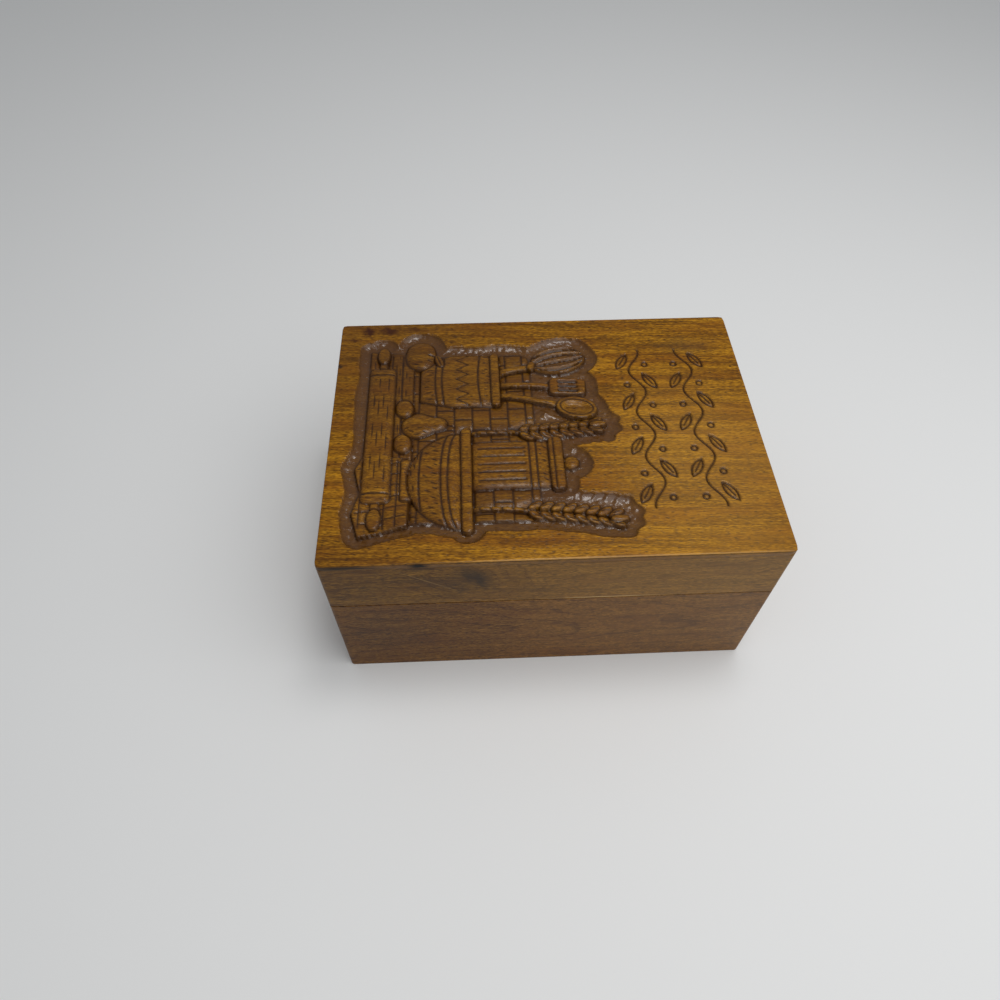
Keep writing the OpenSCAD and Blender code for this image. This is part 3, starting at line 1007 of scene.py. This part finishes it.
@dataclass
class LeafBorders:
    """Two rows of a running vine, cut as thin lines behind the picture.

    Attributes:
        rows: Y of the middle of each row, in millimetres.
        pitch: Distance from leaf to leaf.
        leaves: Number of leaves on each side of the middle one.
        half_leaf: Half length and half width of a leaf.
        tilt: Angle of the leaves to the row, in degrees.
        lift: Distance from the row to the middle of a leaf.
        rise: Height of the stem's waves.
        stroke: Width of the cut lines.
        depth: Depth of the cut lines.
    """

    rows: tuple[float, ...] = (59.0, 90.0)
    pitch: float = 17.0
    leaves: int = 3
    half_leaf: Pair = (7.0, 2.6)
    tilt: float = 30.0
    lift: float = 7.5
    rise: float = 4.0
    stroke: float = 1.5
    depth: float = 0.9

    def carve(self, relief: Relief) -> None:
        """Cuts stem, leaves and berries of both rows into a board."""
        for number, middle in enumerate(self.rows):
            self._row(relief, middle, 1 if number % 2 == 0 else -1)

    def _row(self, r: Relief, middle: float, sense: int) -> None:
        """One row: a sine stem, a leaf at each crest on alternate sides, and a berry opposite."""
        reach = (self.leaves + 0.6) * self.pitch
        phase = math.pi * r.x / self.pitch
        wave = middle + sense * self.rise * np.sin(phase)
        slope = self.rise * math.pi / self.pitch * np.cos(phase)
        stem = np.abs(r.y - wave) / np.sqrt(1.0 + slope**2)
        r.cut(np.where(np.abs(r.x) < reach, stem, np.inf), self.stroke, self.depth)
        for i in range(-self.leaves, self.leaves + 1):
            self._leaf(r, (i * self.pitch, middle), sense * (1 if i % 2 == 0 else -1))

    def _leaf(self, r: Relief, root: Pair, side: int) -> None:
        """A leaf with a midrib on one side of the stem, and a round berry on the other."""
        (x, y), long = (root[0], root[1] + side * self.lift), self.half_leaf[0]
        r.cut(np.abs(self._lens(r, (x, y), self.tilt * side)), self.stroke, self.depth)
        angle = math.radians(self.tilt) * side
        dx, dy = math.cos(angle) * long, math.sin(angle) * long
        midrib = r.bar((x - dx, y - dy), (x + dx / 2, y + dy / 2))
        r.cut(midrib, self.stroke * 0.8, self.depth * 0.7)
        berry = r.disc((root[0] + 3.0, root[1] - side * 6.5), 1.7)
        r.cut(np.abs(berry), self.stroke, self.depth)

    def _lens(self, r: Relief, centre: Pair, turn: float) -> Grid:
        """A pointed leaf, where two equal discs overlap."""
        long, wide = self.half_leaf
        radius = (long**2 + wide**2) / (2 * wide)
        u, v = r.turned(centre, turn)
        return np.hypot(u, np.abs(v) + radius - wide) - radius


@dataclass
class CarvedTop:
    """The lid's top board, carved from above, with a lapped edge and a tongue below.

    Attributes:
        step: Distance between grid points in the carved area, in millimetres.
        coarse: Distance between grid points elsewhere.
        snap: Largest move of a grid point onto an edge, in steps.
        field_x: Ends of the carved area along X.
        field_y: Ends of the carved area along Y.
        edge: Radius of the rounded upper edge.
        arc_steps: Number of grid lines on that edge.
        corner: Radius of the upright corners.
        lip: Thickness of the lapped edge.
        thickness: Thickness of the whole board.
        tongue: Distance from the board's outline to its tongue.
        ease: Width of the bevel on the lower edges.
        sharp: Angle from which an edge is shaded sharp, in degrees.
    """

    step: float = 0.68
    coarse: float = 2.5
    snap: float = 0.45
    field_x: Pair = (-84.0, 82.0)
    field_y: Pair = (-119.0, 106.0)
    edge: float = 0.7
    arc_steps: int = 6
    corner: float = 2.5
    lip: float = 4.5
    thickness: float = 11.0
    tongue: float = 9.65
    ease: float = 0.1
    sharp: float = 55.0

    def build(self, finish: Walnut) -> bpy.types.Object:
        """Builds the board as one closed mesh.

        Args:
            finish: The wood it is made of.

        Returns:
            The new object, which replaces the CAD node.
        """
        low, high = (np.array(corner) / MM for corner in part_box("lid_top"))
        xs = self._stations(low[0], high[0], self.field_x)
        ys = self._stations(low[1], high[1], self.field_y)
        rough = self._carve(*np.meshgrid(xs, ys, indexing="ij"))
        relief = self._carve(*rough.onto_edges(self.snap * self.step))
        plan_x, plan_y, inward = self._rounded_plan(relief.x, relief.y, high)
        fall = self.edge - np.sqrt(self.edge**2 - np.maximum(self.edge - inward, 0.0) ** 2)
        top = np.stack([plan_x, plan_y, high[2] - fall + relief.height], -1)
        verts, faces = self._close(top, high[2])
        piece = mesh_object("lid_top_carved", verts * MM, faces)
        for name, values in (("sunk", relief.stain), ("line", relief.line), ("tool", relief.tool)):
            add_attribute(piece, name, values.ravel())
        piece.data.materials.append(finish.build())
        piece.data.set_sharp_from_angle(angle=math.radians(self.sharp))
        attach(piece, Body.LID.value)
        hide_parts("lid_top")
        return piece

    @staticmethod
    def _carve(x: Grid, y: Grid) -> Relief:
        """Carves picture and vine at the given grid points."""
        relief = Relief(x, y)
        StillLife().carve(relief)
        LeafBorders().carve(relief)
        return relief

    def _stations(self, low: float, high: float, fine: Pair) -> Grid:
        """Grid lines: close in the carved area, wide outside it, and on each rounded edge's arc."""
        arc = self.edge * np.sin(np.linspace(math.pi / 2, 0.0, self.arc_steps + 1)[:-1])
        low, high = low + self.edge, high - self.edge
        ends = ((low, fine[0], self.coarse), (*fine, self.step), (fine[1], high, self.coarse))
        inner = [
            np.linspace(start, stop, max(2, round((stop - start) / step) + 1))[1:]
            for start, stop, step in ends
        ]
        return np.concatenate([low - arc, [low], *inner, (high + arc)[::-1]])

    def _rounded_plan(self, x: Grid, y: Grid, high: Grid) -> tuple[Grid, Grid, Grid]:
        """Bends the square grid's corners onto quarter circles.

        In a corner, a point at (a, b) from the circle's centre moves along its own ray until its
        distance from the centre is the larger of a and b.

        Returns:
            The bent X and Y, and each point's distance from the outline.
        """
        middle_x, middle_y = high[0] - self.corner, high[1] - self.corner
        a, b = np.abs(x) - middle_x, np.abs(y) - middle_y
        in_corner = (a > 0.0) & (b > 0.0)
        scale = np.maximum(a, b) / np.maximum(np.hypot(a, b), 1e-9)
        new_x = np.where(in_corner, np.sign(x) * (middle_x + a * scale), x)
        new_y = np.where(in_corner, np.sign(y) * (middle_y + b * scale), y)
        return new_x, new_y, self.corner - np.maximum(a, b)

    def _close(self, top: Grid, top_z: float) -> tuple[Grid, list[tuple[int, ...]]]:
        """Adds the sides, the lap, the tongue and the underside below the carved grid.

        Each ring repeats the grid's border, scaled in plan and dropped to its own height.

        Args:
            top: Grid of points, shape (nx, ny, 3).
            top_z: Height of the uncut surface.

        Returns:
            All points, and the faces that join them, turned outwards.
        """
        nx, ny = top.shape[:2]
        index = np.arange(nx * ny).reshape(nx, ny)
        corners = [index[:-1, :-1], index[1:, :-1], index[1:, 1:], index[:-1, 1:]]
        sides = [index[:-1, 0], index[-1, :-1], index[:0:-1, -1], index[0, :0:-1]]
        above = np.concatenate(sides)
        points = top.reshape(-1, 3)
        rim = points[above]
        half = np.abs(points[:, :2]).max(0)
        lap, under = top_z - self.lip, top_z - self.thickness
        rings = [
            (0.0, lap + self.ease),
            (self.ease, lap),
            (self.tongue, lap),
            (self.tongue, under + self.ease),
            (self.tongue + self.ease, under),
        ]
        blocks, faces, count = [points], [np.stack(corners, -1).reshape(-1, 4)], len(points)
        for inset, z in rings:
            ring = np.column_stack([rim[:, :2] * ((half - inset) / half), np.full(len(rim), z)])
            below = np.arange(count, count + len(ring))
            faces.append(np.stack([above, below, np.roll(below, -1), np.roll(above, -1)], -1))
            blocks.append(ring)
            above, count = below, count + len(ring)
        joined = [tuple(face) for face in np.concatenate(faces).tolist()]
        joined.append(tuple(above[::-1].tolist()))
        return np.concatenate(blocks), joined


def mesh_object(name: str, points: Grid, faces: list[tuple[int, ...]]) -> bpy.types.Object:
    """Makes a smooth-shaded mesh object at the origin.

    Args:
        name: Name of the piece.
        points: Its points, in metres.
        faces: Its faces, turned outwards.

    Returns:
        The object, linked to the scene.
    """
    mesh = bpy.data.meshes.new(name)
    mesh.from_pydata(points, [], faces)
    mesh.polygons.foreach_set("use_smooth", np.ones(len(mesh.polygons), bool))
    mesh.update()
    return add_object(name, mesh)


def add_attribute(piece: bpy.types.Object, name: str, values: Grid) -> None:
    """Stores one number per point; points past the end of values get zero."""
    layer = piece.data.attributes.new(name, "FLOAT", "POINT")
    padded = np.zeros(len(piece.data.vertices), np.float32)
    padded[: len(values)] = values
    layer.data.foreach_set("value", padded)


# Distances, in metres, at which points are one and an edge lies on the glue line.
MERGE_DISTANCE = 1e-6
ON_GLUE_LINE = 1e-5
FLAT_ANGLE = math.radians(0.5)
EASED_ANGLE = math.radians(40.0)
SHARP_ANGLE = math.radians(35.0)


@dataclass
class Board:
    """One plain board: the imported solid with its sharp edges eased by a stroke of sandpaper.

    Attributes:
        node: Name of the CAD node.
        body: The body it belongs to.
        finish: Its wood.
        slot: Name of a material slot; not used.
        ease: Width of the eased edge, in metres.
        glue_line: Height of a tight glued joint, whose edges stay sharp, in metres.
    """

    node: str
    body: Body
    finish: Walnut
    slot: str = "walnut_sides"
    ease: float = 0.0004
    glue_line: float | None = None

    def build(self, source: bpy.types.Object) -> bpy.types.Object:
        """Builds the dressed board.

        Args:
            source: The CAD node's object.

        Returns:
            The piece that replaces it.
        """
        mesh = source.data.copy()
        mesh.name = self.node + "_board"
        work = bmesh.new()
        work.from_mesh(mesh)
        bmesh.ops.remove_doubles(work, verts=work.verts, dist=MERGE_DISTANCE)
        faces = {"verts": work.verts, "edges": work.edges}
        bmesh.ops.dissolve_limit(work, angle_limit=FLAT_ANGLE, **faces)
        weight = work.edges.layers.float.new("bevel_weight_edge")
        for edge in work.edges:
            sharp = edge.calc_face_angle(0.0) >= EASED_ANGLE and not self._is_glued(edge)
            edge[weight] = 1.0 if sharp else 0.0
        work.to_mesh(mesh)
        work.free()
        mesh.materials.clear()
        mesh.materials.append(self.finish.build())
        piece = add_object(self.node + "_board", mesh)
        mesh.polygons.foreach_set("use_smooth", np.ones(len(mesh.polygons), bool))
        mesh.set_sharp_from_angle(angle=SHARP_ANGLE)
        bevel = piece.modifiers.new("eased_edges", "BEVEL")
        bevel.width = self.ease
        bevel.segments = 2
        bevel.limit_method = "WEIGHT"
        bevel.harden_normals = True
        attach(piece, self.body.value)
        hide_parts(self.node)
        return piece

    def _is_glued(self, edge: bmesh.types.BMEdge) -> bool:
        """Whether an edge lies on the glue line."""
        if self.glue_line is None:
            return False
        return all(abs(vert.co.z - self.glue_line) < ON_GLUE_LINE for vert in edge.verts)


# Place of the lid's top and long sides in the one log that they come from.
LID_PITH = (0.31, 0.012, -0.085)
LID_TILT = 2.2
# The box's near side and its top, in millimetres.
SIDE_X = 90.5
TOP_Z = 121.0

TOP_WALNUT = Walnut(
    name="walnut_lid_top",
    grain=Grain.ALONG_Y,
    pith=LID_PITH,
    tilt=LID_TILT,
    marks=(
        # Painted shade towards the left end, and painted light and sheen towards the right end.
        Mark((-90.0, -124.0, TOP_Z), (120.0, 150.0, 60.0), 0.40, "#45270a", 0.0, 0.3),
        Mark((SIDE_X, -124.0, TOP_Z), (30.0, 90.0, 10.0), 0.34, "#47290a", 0.0, 0.3),
        Mark((88.0, 110.0, TOP_Z), (22.0, 150.0, 10.0), 0.12, "#bd8a33", 0.0, 0.7),
        Mark((35.0, 90.0, TOP_Z), (80.0, 75.0, 20.0), 0.18, "#c8994e", 0.0, 0.3),
        # Reddish blotches at the back left corner, and small dark specks.
        Mark((-83.5, -106.5, TOP_Z), (6.2, 4.6, 6.0), 0.95, "#371605", 0.0, 1.6),
        Mark((-83.8, -93.5, TOP_Z), (5.4, 7.6, 6.0), 0.95, "#3c1a05", 0.0, 1.6),
        Mark((-76.0, -115.5, TOP_Z), (3.0, 4.0, 6.0), 0.7, "#371605", 0.0, 1.8),
        Mark((-85.0, -77.0, TOP_Z), (2.6, 7.0, 6.0), 0.7, "#3c1a05", 0.0, 1.8),
        Mark((-52.8, -122.8, TOP_Z), (2.4, 3.0, 6.0), 0.9),
        Mark((-77.4, -51.3, TOP_Z), (1.8, 2.6, 6.0), 0.7),
        Mark((-59.2, -9.5, TOP_Z), (1.4, 1.8, 6.0), 0.75),
        # Dull band on the near edge, and the dark line above it.
        Mark((92.0, 0.0, 117.5), (3.4, 400.0, 3.4), 0.75, "#6d4c20", 0.0, 0.2),
        Mark((90.7, 25.0, 120.0), (1.0, 200.0, 0.6), 0.8, "#2e1b08", 0.0, 0.5),
        # Smoky patch at the back right.
        Mark((-63.5, 94.0, TOP_Z), (10.0, 22.0, 6.0), 0.34, "#453821", 0.0, 1.4),
        # Chipped spot and open gap under the near edge, and a painted highlight line along the edge.
        Mark((SIDE_X, -71.6, 118.6), (4.0, 6.2, 2.6), 1.0, "#0c0705", 0.0, 0.6, open=True),
        Mark((SIDE_X, -111.0, 118.6), (6.0, 25.0, 2.2), 0.9, "#1a0e06", open=True),
        Mark((90.4, 25.0, TOP_Z), (0.8, 125.0, 0.6), 0.65, "#c99d62", 0.0, 0.8),
    ),
    carved=True,
)

LID_SIDE_MARKS = (
    # Painted shade towards the left end and painted light towards the right end.
    Mark((SIDE_X, 124.0, 100.0), (30.0, 190.0, 100.0), 0.34, "#96774a", 0.0, 0.3),
    Mark((SIDE_X, -124.0, 100.0), (30.0, 150.0, 100.0), 0.42, "#3f2c14", 0.0, 0.3),
    # The knot that the rings bend around, with its core and the dark wood beside it.
    Mark((SIDE_X, -45.0, 102.0), (9.0, 20.0, 13.0), 0.40, "#2e2118", -20.0, bend=3.4),
    Mark((SIDE_X, -42.5, 105.5), (9.0, 16.0, 6.6), 0.62, "#261d16", -58.0),
    Mark((SIDE_X, -71.5, 116.5), (9.0, 11.0, 4.0), 0.60, "#1d1512"),
    Mark((SIDE_X, -62.0, 99.0), (9.0, 20.0, 6.0), 0.46, "#33211a", -22.0),
    # A pale scratch, and a painted highlight along the edge at the seam.
    Mark((SIDE_X, -68.0, 102.5), (9.0, 26.0, 0.5), 0.32, "#a5824e", -36.0, 0.3),
    Mark((SIDE_X, 31.0, 78.7), (4.0, 42.0, 1.0), 0.95, "#cdab74"),
)

BASE_SIDE_MARKS = (
    # Painted shade towards the left end and painted light towards the right end, and two dark
    # streaks.
    Mark((SIDE_X, 124.0, 50.0), (30.0, 170.0, 100.0), 0.30, "#84694a", 0.0, 0.3),
    Mark((SIDE_X, -124.0, 50.0), (30.0, 150.0, 100.0), 0.38, "#3a2512", 0.0, 0.3),
    Mark((SIDE_X, -97.0, 60.2), (9.0, 28.0, 1.2), 0.45, "#3a2414", -8.0),
    Mark((SIDE_X, -95.0, 45.0), (9.0, 30.0, 30.0), 0.22, "#3a2a20"),
)


@dataclass
class BoxBoards:
    """The nine plain boards of base and lid. The lid's long boards share the top board's log.

    Attributes:
        lid_wood: Wood of the lid's sides.
        base_wood: Wood of the base, a little redder.
    """

    lid_wood: Walnut = Walnut(
        "walnut_lid",
        palette=Palette("#ac7a2a", "#805718", "#56370e", "#7a4e19"),
        coat=0.15,
        coat_roughness=0.3,
        pore_strength=0.7,
        figure=0.2,
    )
    base_wood: Walnut = replace(
        lid_wood,
        name="walnut_base",
        palette=Palette("#a0702f", "#7c511d", "#543212", "#6d4019", "#45250f"),
    )

    def build(self, nodes: dict[str, bpy.types.Object]) -> None:
        """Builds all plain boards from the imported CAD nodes."""
        for board in self._boards():
            board.build(nodes[board.node])
            log.info("board %s", board.node)

    def _boards(self) -> list[Board]:
        """The boards: node, grain, place in the log, tilt, and what else sets them apart."""
        across, along = Grain.ALONG_X, Grain.ALONG_Y
        near_lid = {"marks": LID_SIDE_MARKS, "rings": Rings(0.0042, 0.6, 0.6, 0.8)}
        near_base = {"marks": BASE_SIDE_MARKS, "rings": Rings(0.0062, 0.8, 0.6, 0.84)}
        bottom = {"name": "walnut_bottom"}
        return [
            self._board("base_front", across, (0.3, 0.09, -0.04), 4.0),
            self._board("base_back", across, (0.7, -0.07, -0.03), -5.0),
            self._board("base_left", along, (0.2, -0.06, -0.03), 5.0),
            self._board("base_right", along, (0.0, 0.113, -0.047), 6.5, **near_base),
            self._board("base_bottom", along, (0.4, 0.0, 0.05), 2.0, "walnut_inside", **bottom),
            self._board("lid_front", across, (0.9, 0.08, -0.06), 3.0),
            self._board("lid_back", across, (1.2, -0.09, -0.08), -3.0),
            self._board("lid_left", along, LID_PITH, LID_TILT),
            self._board("lid_right", along, LID_PITH, LID_TILT, **near_lid),
        ]

    def _board(
        self,
        node: str,
        grain: Grain,
        pith: Triple,
        tilt: float,
        slot: str = "walnut_sides",
        **more: object,
    ) -> Board:
        """A board of its body's wood; the lid's top edges are glued and stay sharp."""
        changes = {"name": "walnut_" + node, "grain": grain, "pith": pith, "tilt": tilt, **more}
        if node.startswith("lid"):
            finish, glue_line = replace(self.lid_wood, **changes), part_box("lid_right")[1][2]
            return Board(node, Body.LID, finish, slot, glue_line=glue_line)
        return Board(node, Body.BASE, replace(self.base_wood, **changes), slot)


@dataclass
class Hinges:
    """Two brass stop hinges with their pins and screws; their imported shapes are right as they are.

    Attributes:
        metal: Metal of the leaves and pins.
        screws: Metal of the screws.
    """

    metal: Brass = Brass("drawn_brass")
    screws: Brass = Brass("turned_brass", "#d0ab62", (0.14, 0.36))

    def dress(self, nodes: dict[str, bpy.types.Object]) -> None:
        """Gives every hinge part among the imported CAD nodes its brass."""
        drawn, turned = self.metal.build(), self.screws.build()
        for name, node in nodes.items():
            if "hinge" not in name:
                continue
            node.data.materials.clear()
            node.data.materials.append(turned if "screws" in name else drawn)
            log.info("brass %s", name)


BOX_MIDDLE = (0.0, 0.0, 0.08)
SENSOR_WIDTH = 36.0


@dataclass(frozen=True)
class Lamp:
    """A square lamp that points at the box.

    Attributes:
        name: Its name.
        place: Its place, in metres.
        size: Width of its face, in metres.
        power: Its power, in watts.
    """

    name: str
    place: Triple
    size: float
    power: float

    def build(self) -> None:
        """Adds the lamp to the scene."""
        lamp = add_object(self.name, bpy.data.lights.new(self.name, "AREA"))
        lamp.data.shape = "RECTANGLE"
        lamp.data.size = lamp.data.size_y = self.size
        lamp.data.energy = self.power
        lamp.location = self.place
        towards = Vector(BOX_MIDDLE) - Vector(self.place)
        lamp.rotation_euler = towards.to_track_quat("-Z", "Y").to_euler()


@dataclass
class Studio:
    """Camera at the photograph's angle, a plain pale floor and soft light.

    Attributes:
        place: The camera's place, in metres.
        azimuth: Its heading: 0 looks along +Y and 90 along -X, in degrees.
        elevation: How far it looks down, in degrees.
        roll: How far it leans to its left, in degrees.
        focal: Focal length on a 36 mm sensor, in millimetres.
        floor_colour: Colour of the floor.
        floor_reach: Half the width of the floor, in metres.
        room_colour: Colour of the light that comes from all sides.
        room_light: Strength of that light.
        lamps: The lamps: one broad, overhead and a little behind the box, and one smaller.
    """

    place: Triple = (0.28457, -0.03982, 0.44295)
    azimuth: float = 87.171
    elevation: float = 54.168
    roll: float = 0.492
    focal: float = 26.588
    floor_colour: str = "#e9e9e8"
    floor_reach: float = 4.0
    room_colour: str = "#e9ecef"
    room_light: float = 0.38
    lamps: tuple[Lamp, ...] = (
        Lamp("ceiling_lamp", (0.28, 0.36, 0.95), 1.0, 5.7),
        Lamp("ceiling_bulb", (-0.1, 0.15, 1.3), 0.3, 2.9),
    )

    def build(self) -> None:
        """Makes the camera, the floor, the world and the lamps."""
        self._camera()
        self._floor()
        self._world()
        for lamp in self.lamps:
            lamp.build()
        log.info("studio")

    def _camera(self) -> None:
        """Looks along the heading, then leans by the roll."""
        heading, down = math.radians(self.azimuth), math.radians(self.elevation)
        level = math.cos(down)
        ahead = Vector((-math.sin(heading) * level, math.cos(heading) * level, -math.sin(down)))
        lean = Matrix.Rotation(math.radians(self.roll), 3, "Z")
        turn = ahead.to_track_quat("-Z", "Y").to_matrix() @ lean
        camera = add_object("camera", bpy.data.cameras.new("camera"))
        camera.data.lens = self.focal
        camera.data.sensor_width = SENSOR_WIDTH
        camera.data.clip_start = 0.01
        camera.matrix_world = Matrix.Translation(self.place) @ turn.to_4x4()
        bpy.context.scene.camera = camera

    def _floor(self) -> None:
        """A wide pale floor that keeps the box's shadow."""
        corners = ((-1, -1, 0), (1, -1, 0), (1, 1, 0), (-1, 1, 0))
        floor = mesh_object("floor", np.array(corners) * self.floor_reach, [(0, 1, 2, 3)])
        material, tree = new_material("pale_floor")
        surface(tree, {"Base Color": linear(self.floor_colour), "Roughness": 0.9})
        floor.data.materials.append(material)
        floor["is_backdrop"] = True

    def _world(self) -> None:
        """A pale room that lights the box from all sides."""
        world = bpy.data.worlds.new("pale_room")
        world.use_nodes = True
        background = world.node_tree.nodes["Background"]
        background.inputs["Color"].default_value = linear(self.room_colour)
        background.inputs["Strength"].default_value = self.room_light
        bpy.context.scene.world = world


def main() -> tuple[Vector, Vector]:
    """Builds the whole scene in order.

    Returns:
        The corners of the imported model's box.
    """
    logging.basicConfig(level=logging.INFO, format="%(message)s")
    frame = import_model()
    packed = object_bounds()
    bpy.context.scene.view_settings.view_transform = "Standard"
    Studio().build()
    BoxBoards().build(frame["nodes"])
    CarvedTop().build(TOP_WALNUT)
    log.info("carved lid top")
    Hinges().dress(frame["nodes"])
    return packed


if __name__ == "__main__":
    cad_box = main()
